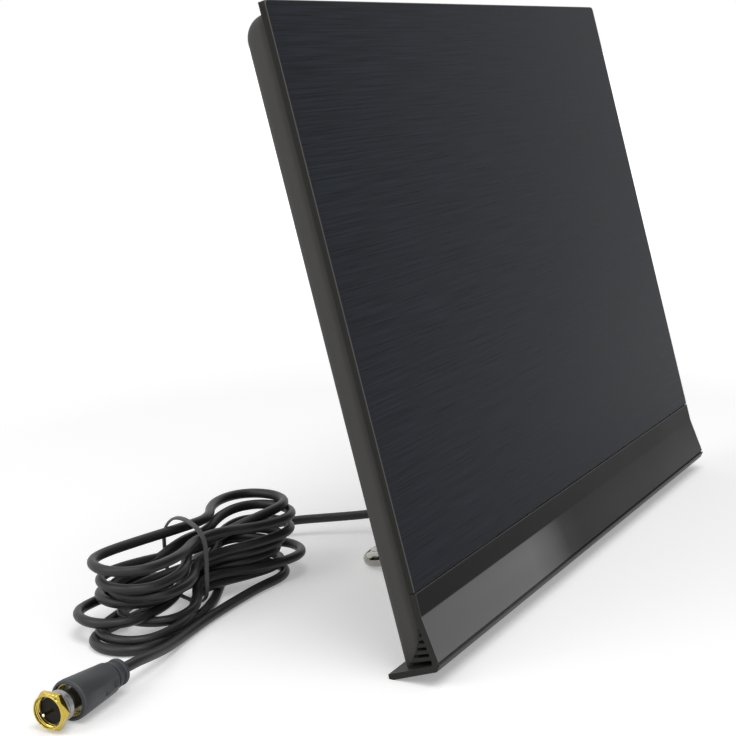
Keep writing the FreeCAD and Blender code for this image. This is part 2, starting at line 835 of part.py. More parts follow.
# The free cable.
def route_wire(points):
    """Straight runs joined by tangent arcs as large as the runs allow, and the arcs' radii."""
    corners = [V(*p) for p in points]
    edges, radii = [], []
    here = corners[0]
    for before, at, after in zip(corners, corners[1:], corners[2:]):
        back = (before - at).normalize()
        on = (after - at).normalize()
        cut = 0.45 * min((before - at).Length, (after - at).Length)
        half_turn = (math.pi - back.getAngle(on)) / 2
        radius = cut / math.tan(half_turn)
        radii.append(radius)
        start, end = at + back * cut, at + on * cut
        inward = (back + on).normalize()
        middle = at + inward * (radius / math.cos(half_turn) - radius)
        edges += [line(here, start), arc(start, middle, end)]
        here = end
    edges.append(line(here, corners[-1]))
    return Part.Wire(edges), radii


def tube(path, radius):
    first = path.Edges[0]
    start = first.valueAt(first.FirstParameter)
    circle = Part.makeCircle(radius, start, first.tangentAt(first.FirstParameter))
    return path.makePipeShell([Part.Wire(circle)], True, False)


def cable_tube(name, points, radius):
    path, radii = route_wire(points)
    shape = tube(path, radius)
    expected = math.pi * radius**2 * path.Length
    print(name, "length", round(path.Length, 1), "volume ratio", round(shape.Volume / expected, 4))
    print(name, "radii", [round(r, 1) for r in radii])
    return shape


def gland_axis_point(forward):
    """A point on the gland's axis, that far past its tip, in the part's own frame."""
    y, z = leaned(gland_tip() + forward, GLAND_RISE)
    return (0, y + JOINT_Y, z + JOINT_HEIGHT)


def cable_lead():
    start = [gland_axis_point(0), gland_axis_point(LEAD_RUN)]
    return cable_tube("cable_lead", start + LEAD_ROUTE, CABLE / 2)


def cable_tail():
    start = [(PLUG_REAR_X + run, PLUG_Y, PLUG_Z) for run in (0, TAIL_RUN)]
    return cable_tube("cable_tail", start + TAIL_ROUTE, CABLE / 2)


def hank_placement():
    return FreeCAD.Placement(V(*HANK_CENTRE, 0), FreeCAD.Rotation(UP, HANK_TURN))


def cable_hank():
    """The outer shape of the bundle: two round lobes, drawn in at the tie."""
    end = HANK_LENGTH / 2
    lobe = HANK_LOBE
    centre = end - lobe
    waist = HANK_WAIST
    edges = [
        arc(V(-centre, lobe, 0), V(-end, 0, 0), V(-centre, -lobe, 0)),
        arc(V(-centre, -lobe, 0), V(0, -waist, 0), V(centre, -lobe, 0)),
        arc(V(centre, -lobe, 0), V(end, 0, 0), V(centre, lobe, 0)),
        arc(V(centre, lobe, 0), V(0, waist, 0), V(-centre, lobe, 0)),
    ]
    bundle = Part.Face(Part.Wire(edges)).extrude(UP * HANK_HEIGHT)
    flat = edges_where(bundle, lambda b: b.ZLength < TOUCH)
    bundle = bundle.makeFillet(HANK_ROUNDING, flat)
    bundle.Placement = hank_placement()
    return bundle


def cable_tie():
    """A coated wire round the bundle's waist, with a slack arch on top."""
    side = HANK_WAIST + TIE / 2
    low = TIE / 2
    rise = HANK_HEIGHT + TIE_ARCH - low
    points = [(along, out * side, low + up * rise) for along, out, up in TIE_ROUTE]
    loop = cable_tube("cable_tie", points, TIE / 2)
    loop.Placement = hank_placement()
    return loop


def pieces():
    upright = {
        "front_panel": front_panel(),
        "rear_housing": rear_housing(base_strip()),
        "base_strip": base_strip_with_holes(),
        "housing_screws": housing_screws(),
        "strip_screws": strip_screws(),
        "radiator_board": radiator_board(),
        "radiator_left": radiator(-1),
        "radiator_right": radiator(1),
        "amplifier_board": amplifier_board(),
        "shield_can": shield_can(),
        "coax_pigtail": coax_pigtail(),
        "wire_stand": wire_stand(),
        "cable_gland": cable_gland(),
    }
    free = {
        "cable_lead": cable_lead(),
        "cable_hank": cable_hank(),
        "cable_tie": cable_tie(),
        "cable_tail": cable_tail(),
        "plug_boot": plug_boot(),
        "cup_ring": cup_ring(),
        "plug_sleeve": plug_sleeve(),
        "plug_insulator": plug_insulator(),
        "centre_pin": centre_pin(),
        "coupling_nut": coupling_nut(),
    }
    return {name: stand_up(shape) for name, shape in upright.items()} | free


def main():
    os.makedirs("parts", exist_ok=True)
    for name, shape in pieces().items():
        print(name, "valid", shape.isValid(), "solids", len(shape.Solids))
        shape.exportStep(f"parts/{name}.step")


main()
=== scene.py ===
import json
import math

import bmesh
import bpy
from mathutils import Matrix, Vector


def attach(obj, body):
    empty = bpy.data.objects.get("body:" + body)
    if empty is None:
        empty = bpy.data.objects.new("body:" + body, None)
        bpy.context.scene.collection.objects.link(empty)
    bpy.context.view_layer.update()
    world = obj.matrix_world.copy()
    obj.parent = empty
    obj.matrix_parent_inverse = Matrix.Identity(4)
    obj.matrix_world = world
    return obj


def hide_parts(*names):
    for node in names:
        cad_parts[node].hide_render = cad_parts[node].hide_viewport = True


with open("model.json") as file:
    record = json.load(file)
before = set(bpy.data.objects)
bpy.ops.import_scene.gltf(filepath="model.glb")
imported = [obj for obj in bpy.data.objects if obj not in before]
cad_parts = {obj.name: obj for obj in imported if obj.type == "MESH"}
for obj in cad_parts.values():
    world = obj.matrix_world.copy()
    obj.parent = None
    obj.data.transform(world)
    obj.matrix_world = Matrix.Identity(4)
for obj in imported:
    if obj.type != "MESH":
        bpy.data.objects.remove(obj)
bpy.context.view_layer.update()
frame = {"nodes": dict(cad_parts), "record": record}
scene = bpy.context.scene
MM = 0.001

# Places that the looks share with the solids, in metres. The strip's heights and the housing's
# depth are those of the upright antenna, from the line where panel and strip meet.
LEAN = math.radians(16.0)
JOINT = Vector((0.0, -0.031433, 0.03163))
HALF_WIDTH = 0.1525
BAND_BOTTOM = -0.0082
GROOVE_BOTTOM = -0.0246
GROOVE_TOP = -0.0239
HOUSING_BACK = 0.013
FOOT_UNDERSIDE = -0.027871
PLUG_REAR = Vector((-0.202, 0.052, 0.0068))
PLUG_FORWARD = Vector((-1.0, 0.0, 0.0))
BOOT_LENGTH = 0.0272
PALE_TIP_START = -0.2406
CABLE_DIAMETER = 0.0038
GLAND_TIP = (0.0, -0.00637, 0.02652)


def leaned(x, y, z):
    """A point of the upright antenna, once it leans back on its foot."""
    return JOINT + Vector(
        (
            x,
            y * math.cos(LEAN) + z * math.sin(LEAN),
            z * math.cos(LEAN) - y * math.sin(LEAN),
        )
    )


REARWARD = leaned(0, 1, 0) - leaned(0, 0, 0)
UPWARD = leaned(0, 0, 1) - leaned(0, 0, 0)


# Camera and view.
def set_camera():
    data = bpy.data.cameras.new("photo_camera")
    data.lens = 79.24
    data.sensor_width = 36.0
    data.shift_x = 0.00136
    data.shift_y = -0.00204
    camera = bpy.data.objects.new("photo_camera", data)
    camera.location = (-0.6060, -0.25054, 0.2145)
    gaze = Vector((0.8670, 0.4527, -0.2075))
    camera.rotation_euler = gaze.to_track_quat("-Z", "Y").to_euler()
    scene.collection.objects.link(camera)
    scene.camera = camera
    scene.view_settings.view_transform = "Standard"


# The cable's own route: from the gland along the floor, through the hank's turns, to the boot.
LEAD_ROUTE = [
    GLAND_TIP,
    (0.0, 0.00276, 0.0239),
    (0.0004, 0.0129, 0.0196),
    (-0.0012, 0.0239, 0.0148),
    (-0.0046, 0.0339, 0.0121),
    (-0.0096, 0.0439, 0.0114),
    (-0.016, 0.0559, 0.0089),
    (-0.024, 0.0704, 0.0076),
    (-0.034, 0.0849, 0.0069),
    (-0.049, 0.0954, 0.0059),
    (-0.068, 0.0994, 0.0047),
    (-0.088, 0.0979, 0.0036),
    (-0.107, 0.0965, 0.0028),
    (-0.126, 0.0955, 0.0025),
    (-0.1435, 0.0906, 0.0029),
]
TAIL_ROUTE = [
    (-0.1, 0.0604, 0.002),
    (-0.118, 0.0604, 0.002),
    (-0.138, 0.0597, 0.002),
    (-0.1555, 0.0578, 0.002),
    (-0.171, 0.0549, 0.0032),
    (-0.184, 0.0527, 0.0055),
    (-0.1935, 0.052, 0.0068),
    (-0.202, 0.052, 0.0068),
]
HANK_CENTRE = Vector((-0.1217, 0.0762, 0.0))
HANK_TURN = math.radians(-9.7)
# Where the near and the far runs enter and leave the waist, in millimetres along the hank.
NEAR_WAIST = (-2.0, 12.0)
FAR_WAIST = (16.0, 1.0)
# Each turn, in millimetres along the hank, across it and up: the fold at its left end with
# the fold's radius, the near run's place at the waist, the fold at its right end, and the
# far run's place at the waist on the way to the next turn.
HANK_TURNS = [
    ((-39.5, -8.5, 3.8, 11.9), (-3.4, 5.9), (37.5, 4.5, 6.0, 11.9), (5.0, 9.0)),
    ((-29.5, 2.0, 12.2, 11.9), (0.6, 13.6), (36.0, 2.5, 16.2, 11.9), (6.5, 18.0)),
    ((-33.0, -2.5, 19.6, 12.0), (1.0, 22.0), (40.5, 5.5, 29.0, 12.3), (6.0, 28.4)),
    ((-34.5, -0.5, 26.2, 12.2), (-2.6, 25.6), (40.0, 1.0, 25.4, 12.0), (7.5, 22.8)),
    ((-29.0, -4.0, 15.8, 11.9), (-3.4, 17.6), (39.5, 1.0, 19.6, 11.9), (4.2, 13.2)),
    ((-40.5, 1.5, 8.2, 12.0), (2.2, 9.6), (34.0, 3.5, 12.6, 11.9), (7.5, 10.2)),
    ((-25.0, -4.5, 5.6, 11.9), (-3.3, 9.4), (45.5, 0.5, 8.4, 12.0), (7.0, 4.6)),
    ((-44.0, -10.0, 1.95, 11.9), None, (37.0, 1.0, 2.1, 11.4), None),
]
# The last run crosses below the others to its fold's far side: along, across and up.
LAST_RUN = [
    (-28.0, -18.8, 2.0),
    (-12.0, -14.6, 2.0),
    (0.0, -9.6, 2.0),
    (12.0, -1.8, 2.0),
    (24.0, 7.0, 2.1),
]
LAST_FOLD = (118, -80)
FOLD_STEPS = 4
# How far toward the waist a run's shoulder stands from its fold: along, across and up.
SHOULDER = (0.52, 0.12, 0.25)


def hank_point(along, across, up):
    place = Vector((along, across, up)) * MM
    return HANK_CENTRE + Matrix.Rotation(HANK_TURN, 3, "Z") @ place


def fold(end, first, last):
    """Control points round one end of a turn, from one angle to another."""
    along, across, up, radius = end
    reach = radius / math.cos(math.radians(last - first) / FOLD_STEPS / 2)
    points = []
    for i in range(FOLD_STEPS + 1):
        angle = math.radians(first + (last - first) * i / FOLD_STEPS)
        points.append((along + reach * math.cos(angle), across + reach * math.sin(angle), up))
    return points


def shoulder(end, side, waist):
    """Where a run leaves its fold's side and starts to draw in to the waist."""
    along, across, up, radius = end
    start = (along, across + side * radius, up)
    return tuple(a + share * (b - a) for a, b, share in zip(start, waist, SHOULDER))


def run(start, end, side, waist, lane):
    """Control points from one fold past the waist to the other fold, on one side."""
    entry, leave = [(along, *lane) for along in waist]
    return [shoulder(start, side, entry), entry, leave, shoulder(end, side, leave)]


def hank_route():
    points = []
    for turn, (left, near, right, far) in enumerate(HANK_TURNS):
        points += fold(left, 90, 270)
        if far is None:
            points += LAST_RUN
            points += fold(right, *LAST_FOLD)
        else:
            points += run(left, right, -1, NEAR_WAIST, near)
            points += fold(right, -90, 90)
            points += run(right, HANK_TURNS[turn + 1][0], 1, FAR_WAIST, far)
    return [hank_point(*p) for p in points]


def nurbs_curve(name, points):
    curve = bpy.data.curves.new(name, "CURVE")
    curve.dimensions = "3D"
    spline = curve.splines.new("NURBS")
    spline.points.add(len(points) - 1)
    for point, place in zip(spline.points, points):
        point.co = (*place, 1.0)
    spline.order_u = 3
    spline.use_endpoint_u = True
    spline.resolution_u = 10
    return curve


# Mesh helpers.
def add_object(name, data):
    piece = bpy.data.objects.new(name, data)
    scene.collection.objects.link(piece)
    return piece


def finished(piece, body, slot, material, *replaced):
    """Dress a piece, let it ride on its body and stand for the solids it replaces."""
    if material is not None:
        piece.data.materials.clear()
        piece.data.materials.append(material)
    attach(piece, body)
    if replaced:
        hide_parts(*replaced)
    return piece


def smooth_by_angle(mesh, degrees):
    mesh.polygons.foreach_set("use_smooth", [True] * len(mesh.polygons))
    mesh.set_sharp_from_angle(angle=math.radians(degrees))
    mesh.update()


def merged_copy(name, node, degrees=30.0):
    """A smooth-shaded copy of a solid's mesh, with its loose triangles joined."""
    mesh = frame["nodes"][node].data.copy()
    mesh.name = name
    work = bmesh.new()
    work.from_mesh(mesh)
    bmesh.ops.remove_doubles(work, verts=work.verts, dist=1e-6)
    flat = math.radians(0.5)
    bmesh.ops.dissolve_limit(work, angle_limit=flat, verts=work.verts, edges=work.edges)
    work.to_mesh(mesh)
    work.free()
    smooth_by_angle(mesh, degrees)
    return add_object(name, mesh)


def soften(piece, width, segments=2, degrees=35.0):
    """Round a piece's sharp edges slightly."""
    bevel = piece.modifiers.new("soft_edges", "BEVEL")
    bevel.width = width
    bevel.segments = segments
    bevel.limit_method = "ANGLE"
    bevel.angle_limit = math.radians(degrees)
    bevel.use_clamp_overlap = True
    bevel.harden_normals = True


def baked(piece):
    """Turn a piece with modifiers into a plain mesh object of the same name."""
    name = piece.name
    graph = bpy.context.evaluated_depsgraph_get()
    mesh = bpy.data.meshes.new_from_object(piece.evaluated_get(graph), depsgraph=graph)
    mesh.name = name
    bpy.data.objects.remove(piece)
    return add_object(name, mesh)


def turned(name, outline, place, direction, segments=64):
    """A body turned about an axis, from pairs of forward place and radius in millimetres.

    An outline that starts on the axis ends on it too; any other closes on its first pair.
    """
    forward = direction.normalized()
    side = forward.orthogonal().normalized()
    other = forward.cross(side)
    work = bmesh.new()
    rings = []
    for along, radius in outline:
        centre = place + forward * along * MM
        if radius == 0:
            rings.append([work.verts.new(centre)])
            continue
        ring = []
        for i in range(segments):
            angle = 2 * math.pi * i / segments
            out = side * math.cos(angle) + other * math.sin(angle)
            ring.append(work.verts.new(centre + out * radius * MM))
        rings.append(ring)
    pairs = list(zip(rings, rings[1:]))
    if outline[0][1] != 0:
        pairs.append((rings[-1], rings[0]))
    for a, b in pairs:
        for i in range(segments):
            j = (i + 1) % segments
            corners = [a[i % len(a)], a[j % len(a)], b[j % len(b)], b[i % len(b)]]
            work.faces.new(list(dict.fromkeys(corners)))
    bmesh.ops.recalc_face_normals(work, faces=work.faces)
    mesh = bpy.data.meshes.new(name)
    work.to_mesh(mesh)
    work.free()
    smooth_by_angle(mesh, 30.0)
    return add_object(name, mesh)


def block(name, low, high, turn=Matrix.Identity(4)):
    """A box between two corners, used only as a cutter."""
    work = bmesh.new()
    bmesh.ops.create_cube(work, size=1.0)
    middle = (Vector(low) + Vector(high)) / 2
    size = Vector(high) - Vector(low)
    for vert in work.verts:
        vert.co = turn @ (middle + Vector(c * s for c, s in zip(vert.co, size)))
    mesh = bpy.data.meshes.new(name)
    work.to_mesh(mesh)
    work.free()
    return add_object(name, mesh)


def cut_away(piece, cutters, operation="DIFFERENCE"):
    """Cut a piece with each cutter, and keep the result as a plain mesh."""
    for cutter in cutters:
        cut = piece.modifiers.new("cut", "BOOLEAN")
        cut.operation = operation
        cut.solver = "EXACT"
        cut.object = cutter
    piece = baked(piece)
    for cutter in cutters:
        bpy.data.objects.remove(cutter)
    return piece


# Geometry node trees for what repeats or follows a path.
def new_tree(name, inputs):
    """An empty geometry tree with named inputs, and its two end nodes."""
    tree = bpy.data.node_groups.new(name, "GeometryNodeTree")
    tree.interface.new_socket("Geometry", in_out="INPUT", socket_type="NodeSocketGeometry")
    for label, kind in inputs:
        tree.interface.new_socket(label, in_out="INPUT", socket_type=kind)
    tree.interface.new_socket("Geometry", in_out="OUTPUT", socket_type="NodeSocketGeometry")
    return tree, tree.nodes.new("NodeGroupInput"), tree.nodes.new("NodeGroupOutput")


def end_tree(tree, given, result, geometry):
    """Close a tree with real geometry and the material it is given."""
    real = tree.nodes.new("GeometryNodeRealizeInstances")
    painted = tree.nodes.new("GeometryNodeSetMaterial")
    tree.links.new(geometry, real.inputs["Geometry"])
    tree.links.new(real.outputs["Geometry"], painted.inputs["Geometry"])
    tree.links.new(given.outputs["Material"], painted.inputs["Material"])
    tree.links.new(painted.outputs["Geometry"], result.inputs["Geometry"])


def ring_tree():
    """Round beads in a row, each a little smaller than the one before."""
    tree, given, result = new_tree(
        "bead_row",
        [
            ("Count", "NodeSocketInt"),
            ("Start", "NodeSocketVector"),
            ("Step", "NodeSocketVector"),
            ("Turn", "NodeSocketVector"),
            ("Radius", "NodeSocketFloat"),
            ("Taper", "NodeSocketFloat"),
            ("Bead", "NodeSocketFloat"),
            ("Material", "NodeSocketMaterial"),
        ],
    )
    link = tree.links.new
    row = tree.nodes.new("GeometryNodeMeshLine")
    link(given.outputs["Count"], row.inputs["Count"])
    link(given.outputs["Start"], row.inputs["Start Location"])
    link(given.outputs["Step"], row.inputs["Offset"])
    circle = tree.nodes.new("GeometryNodeCurvePrimitiveCircle")
    circle.inputs["Resolution"].default_value = 48
    link(given.outputs["Radius"], circle.inputs["Radius"])
    bead = tree.nodes.new("GeometryNodeCurvePrimitiveCircle")
    bead.inputs["Resolution"].default_value = 10
    link(given.outputs["Bead"], bead.inputs["Radius"])
    ring = tree.nodes.new("GeometryNodeCurveToMesh")
    link(circle.outputs["Curve"], ring.inputs["Curve"])
    link(bead.outputs["Curve"], ring.inputs["Profile Curve"])
    index = tree.nodes.new("GeometryNodeInputIndex")
    shrink = tree.nodes.new("ShaderNodeMath")
    shrink.operation = "MULTIPLY_ADD"
    link(index.outputs["Index"], shrink.inputs[0])
    link(given.outputs["Taper"], shrink.inputs[1])
    shrink.inputs[2].default_value = 1.0
    turn = tree.nodes.new("FunctionNodeEulerToRotation")
    link(given.outputs["Turn"], turn.inputs["Euler"])
    placed = tree.nodes.new("GeometryNodeInstanceOnPoints")
    link(row.outputs["Mesh"], placed.inputs["Points"])
    link(ring.outputs["Mesh"], placed.inputs["Instance"])
    link(turn.outputs["Rotation"], placed.inputs["Rotation"])
    link(shrink.outputs["Value"], placed.inputs["Scale"])
    end_tree(tree, given, result, placed.outputs["Instances"])
    return tree


def thread_tree():
    """An inner thread: a small ridge that winds along a bore."""
    tree, given, result = new_tree(
        "bore_thread",
        [
            ("Turns", "NodeSocketFloat"),
            ("Length", "NodeSocketFloat"),
            ("Radius", "NodeSocketFloat"),
            ("Ridge", "NodeSocketFloat"),
            ("Start", "NodeSocketVector"),
            ("Turn", "NodeSocketVector"),
            ("Material", "NodeSocketMaterial"),
        ],
    )
    link = tree.links.new
    spiral = tree.nodes.new("GeometryNodeCurveSpiral")
    spiral.inputs["Resolution"].default_value = 64
    link(given.outputs["Turns"], spiral.inputs["Rotations"])
    link(given.outputs["Length"], spiral.inputs["Height"])
    link(given.outputs["Radius"], spiral.inputs["Start Radius"])
    link(given.outputs["Radius"], spiral.inputs["End Radius"])
    ridge = tree.nodes.new("GeometryNodeCurvePrimitiveCircle")
    ridge.inputs["Resolution"].default_value = 6
    link(given.outputs["Ridge"], ridge.inputs["Radius"])
    wound = tree.nodes.new("GeometryNodeCurveToMesh")
    wound.inputs["Fill Caps"].default_value = True
    link(spiral.outputs["Curve"], wound.inputs["Curve"])
    link(ridge.outputs["Curve"], wound.inputs["Profile Curve"])
    turn = tree.nodes.new("GeometryNodeTransform")
    link(wound.outputs["Mesh"], turn.inputs["Geometry"])
    link(given.outputs["Start"], turn.inputs["Translation"])
    link(given.outputs["Turn"], turn.inputs["Rotation"])
    end_tree(tree, given, result, turn.outputs["Geometry"])
    return tree


def fastener_tree():
    """One fastener, set the same way at each point."""
    tree, given, result = new_tree(
        "fastener_set",
        [
            ("Fastener", "NodeSocketObject"),
            ("Turn", "NodeSocketVector"),
            ("Material", "NodeSocketMaterial"),
        ],
    )
    link = tree.links.new
    shape = tree.nodes.new("GeometryNodeObjectInfo")
    link(given.outputs["Fastener"], shape.inputs["Object"])
    turn = tree.nodes.new("FunctionNodeEulerToRotation")
    link(given.outputs["Turn"], turn.inputs["Euler"])
    placed = tree.nodes.new("GeometryNodeInstanceOnPoints")
    link(given.outputs["Geometry"], placed.inputs["Points"])
    link(shape.outputs["Geometry"], placed.inputs["Instance"])
    link(turn.outputs["Rotation"], placed.inputs["Rotation"])
    end_tree(tree, given, result, placed.outputs["Instances"])
    return tree


def grown(name, tree, values, places=()):
    """Run a tree on a set of points and keep what it makes as a plain mesh."""
    mesh = bpy.data.meshes.new(name)
    mesh.from_pydata([tuple(p) for p in places], [], [])
    piece = add_object(name, mesh)
    modifier = piece.modifiers.new("grown", "NODES")
    modifier.node_group = tree
    for item in tree.interface.items_tree:
        if item.in_out == "INPUT" and item.name in values:
            modifier[item.identifier] = values[item.name]
    piece = baked(piece)
    smooth_by_angle(piece.data, 40.0)
    return piece


# Shader groups that several finishes share.
def new_group(name, inputs, outputs):
    group = bpy.data.node_groups.new(name, "ShaderNodeTree")
    for label, kind, value in inputs:
        socket = group.interface.new_socket(label, in_out="INPUT", socket_type=kind)
        if value is not None:
            socket.default_value = value
    for label, kind in outputs:
        group.interface.new_socket(label, in_out="OUTPUT", socket_type=kind)
    return group, group.nodes.new("NodeGroupInput"), group.nodes.new("NodeGroupOutput")


def moulded_grain_group():
    """Fine grain of a moulded surface, with broad, faint changes of tone."""
    group, given, result = new_group(
        "moulded_grain",
        [
            ("Vector", "NodeSocketVector", None),
            ("Grain", "NodeSocketFloat", 1500.0),
            ("Broad", "NodeSocketFloat", 18.0),
        ],
        [("Height", "NodeSocketFloat"), ("Tone", "NodeSocketFloat")],
    )
    link = group.links.new
    fine = group.nodes.new("ShaderNodeTexNoise")
    fine.inputs["Detail"].default_value = 3.0
    link(given.outputs["Vector"], fine.inputs["Vector"])
    link(given.outputs["Grain"], fine.inputs["Scale"])
    broad = group.nodes.new("ShaderNodeTexNoise")
    broad.inputs["Detail"].default_value = 4.0
    link(given.outputs["Vector"], broad.inputs["Vector"])
    link(given.outputs["Broad"], broad.inputs["Scale"])
    link(fine.outputs["Fac"], result.inputs["Height"])
    link(broad.outputs["Fac"], result.inputs["Tone"])
    return group


def brushed_grain_group():
    """Long fine scratches that run one way, with broken dashes among them."""
    group, given, result = new_group(
        "brushed_grain",
        [
            ("Vector", "NodeSocketVector", None),
            ("Dash", "NodeSocketVector", (26.0, 26.0, 1500.0)),
            ("Hair", "NodeSocketVector", (9.0, 9.0, 4200.0)),
        ],
        [("Height", "NodeSocketFloat"), ("Tone", "NodeSocketFloat")],
    )
    link = group.links.new
    layers = []
    for label, detail in (("Dash", 2.0), ("Hair", 1.0)):
        stretch = group.nodes.new("ShaderNodeVectorMath")
        stretch.operation = "MULTIPLY"
        link(given.outputs["Vector"], stretch.inputs[0])
        link(given.outputs[label], stretch.inputs[1])
        noise = group.nodes.new("ShaderNodeTexNoise")
        noise.inputs["Scale"].default_value = 1.0
        noise.inputs["Detail"].default_value = detail
        link(stretch.outputs["Vector"], noise.inputs["Vector"])
        layers.append(noise.outputs["Fac"])
    mix = group.nodes.new("ShaderNodeMath")
    mix.operation = "MULTIPLY_ADD"
    mix.inputs[1].default_value = 0.45
    link(layers[1], mix.inputs[0])
    share = group.nodes.new("ShaderNodeMath")
    share.operation = "MULTIPLY"
    share.inputs[1].default_value = 0.55
    link(layers[0], share.inputs[0])
    link(share.outputs["Value"], mix.inputs[2])
    link(mix.outputs["Value"], result.inputs["Height"])
    link(layers[0], result.inputs["Tone"])
    return group


MOULDED = moulded_grain_group()
BRUSHED = brushed_grain_group()


# Finishes.
class Finish:
    """A material with one principled shader, built up node by node."""

    def __init__(self, name, **constants):
        self.material = bpy.data.materials.new(name)
        self.material.use_nodes = True
        self.tree = self.material.node_tree
        self.tree.nodes.clear()
        output = self.node("ShaderNodeOutputMaterial")
        self.shader = self.node("ShaderNodeBsdfPrincipled")
        self.link(self.shader.outputs["BSDF"], output.inputs["Surface"])
        for label, value in constants.items():
            self.shader.inputs[label.replace("_", " ")].default_value = value
        self.place = self.node("ShaderNodeTexCoord").outputs["Object"]

    def node(self, kind):
        return self.tree.nodes.new(kind)

    def link(self, start, end):
        self.tree.links.new(start, end)

    def lean_place(self):
        """Object coordinates turned so that z runs up the leaning antenna from the joint."""
        turn = self.node("ShaderNodeMapping")
        turn.vector_type = "TEXTURE"
        turn.inputs["Location"].default_value = JOINT
        turn.inputs["Rotation"].default_value = (-LEAN, 0.0, 0.0)
        self.link(self.place, turn.inputs["Vector"])
        return turn.outputs["Vector"]

    def group(self, group, vector=None, **values):
        placed = self.node("ShaderNodeGroup")
        placed.node_tree = group
        self.link(vector or self.place, placed.inputs["Vector"])
        for label, value in values.items():
            placed.inputs[label].default_value = value
        return placed.outputs

    def ramp(self, factor, *stops):
        """Colours or greys along a factor, as pairs of place and colour."""
        ramp = self.node("ShaderNodeValToRGB")
        elements = ramp.color_ramp.elements
        while len(elements) < len(stops):
            elements.new(0.5)
        for element, (at, colour) in zip(elements, stops):
            element.position = at
            element.color = colour if len(colour) == 4 else (*colour, 1.0)
        self.link(factor, ramp.inputs["Fac"])
        return ramp.outputs["Color"]

    def span(self, factor, low, high, out_low, out_high):
        """A factor carried from one range to another."""
        spread = self.node("ShaderNodeMapRange")
        for label, value in (
            ("From Min", low),
            ("From Max", high),
            ("To Min", out_low),
            ("To Max", out_high),
        ):
            spread.inputs[label].default_value = value
        self.link(factor, spread.inputs["Value"])
        return spread.outputs["Result"]

    def math(self, operation, *values):
        """A sum, product or other plain step on values, given as outputs or numbers."""
        step = self.node("ShaderNodeMath")
        step.operation = operation
        for socket, value in zip(step.inputs, values):
            if isinstance(value, float):
                socket.default_value = value
            else:
                self.link(value, socket)
        return step.outputs["Value"]

    def axes(self, vector):
        split = self.node("ShaderNodeSeparateXYZ")
        self.link(vector, split.inputs["Vector"])
        return split.outputs

    def mixed(self, factor, first, second):
        """One colour over another, by a mask."""
        mix = self.node("ShaderNodeMix")
        mix.data_type = "RGBA"
        self.link(factor, mix.inputs["Factor"])
        for socket, colour in ((mix.inputs[6], first), (mix.inputs[7], second)):
            if isinstance(colour, tuple):
                socket.default_value = (*colour, 1.0)
            else:
                self.link(colour, socket)
        return mix.outputs[2]

    def feed(self, label, output):
        self.link(output, self.shader.inputs[label])

    def bump(self, height, strength, distance):
        bump = self.node("ShaderNodeBump")
        bump.inputs["Strength"].default_value = strength
        bump.inputs["Distance"].default_value = distance
        self.link(height, bump.inputs["Height"])
        self.feed("Normal", bump.outputs["Normal"])


def grey(value, tint=(1.0, 1.0, 1.0)):
    return tuple(value * t for t in tint)


PLAIN_TINT = (1.02, 1.0, 0.95)
DULL_TINT = (1.03, 1.0, 0.95)


def panel_finish():
    """Dark slate with fine scratches across its face, a bevel lightened as a painted highlight,
    and plain edges.
    """
    slate = (0.78, 0.96, 1.3)
    finish = Finish("brushed_panel", Specular_IOR_Level=0.03)
    where = finish.lean_place()
    grain = finish.group(BRUSHED, where)
    depth = finish.axes(where)["Y"]
    tone = finish.ramp(
        grain["Tone"],
        (0.34, grey(0.0105, slate)),
        (0.50, grey(0.0165, slate)),
        (0.66, grey(0.0245, slate)),
    )
    bevel = finish.span(depth, 0.00003, 0.0001, 0.0, 1.0)
    edge = finish.span(depth, 0.0003, 0.0004, 0.0, 1.0)
    # The bevel's lighter grey is a painted highlight along the chamfer.
    painted_bevel_highlight = finish.mixed(bevel, tone, grey(0.11, PLAIN_TINT))
    finish.feed("Base Color", finish.mixed(edge, painted_bevel_highlight, grey(0.032, PLAIN_TINT)))
    finish.feed("Roughness", finish.span(grain["Tone"], 0.3, 0.7, 0.26, 0.4))
    finish.bump(grain["Height"], 0.2, 0.00012)
    return finish.material


def moulded_finish(name, low, high, rough, strength=0.12, grain=1500.0, tint=(1, 1, 1), **more):
    """A moulded plastic: grain in its bump, broad faint changes in tone and gloss."""
    finish = Finish(name, **more)
    texture = finish.group(MOULDED, Grain=grain)
    tone = finish.ramp(texture["Tone"], (0.3, grey(low, tint)), (0.7, grey(high, tint)))
    finish.feed("Base Color", tone)
    finish.feed("Roughness", finish.span(texture["Tone"], 0.3, 0.7, rough - 0.05, rough + 0.05))
    finish.bump(texture["Height"], strength, 0.0001)
    return finish.material


def housing_finish():
    """Fine matt plastic, with painted shade that darkens it toward the hollow behind the panel's
    rim.
    """
    finish = Finish("housing_matt", Specular_IOR_Level=0.2)
    texture = finish.group(MOULDED, Grain=1400.0)
    tone = finish.ramp(
        texture["Tone"],
        (0.3, grey(0.058, PLAIN_TINT)),
        (0.7, grey(0.071, PLAIN_TINT)),
    )
    depth = finish.axes(finish.lean_place())["Y"]
    # Painted shade: the base colour darkens toward the hollow behind the panel's rim.
    painted_hollow_shade = finish.span(depth, 0.0034, 0.0068, 0.7, 0.0)
    finish.feed("Base Color", finish.mixed(painted_hollow_shade, tone, grey(0.012, PLAIN_TINT)))
    finish.feed("Roughness", finish.span(texture["Tone"], 0.3, 0.7, 0.57, 0.67))
    finish.bump(texture["Height"], 0.2, 0.0001)
    return finish.material


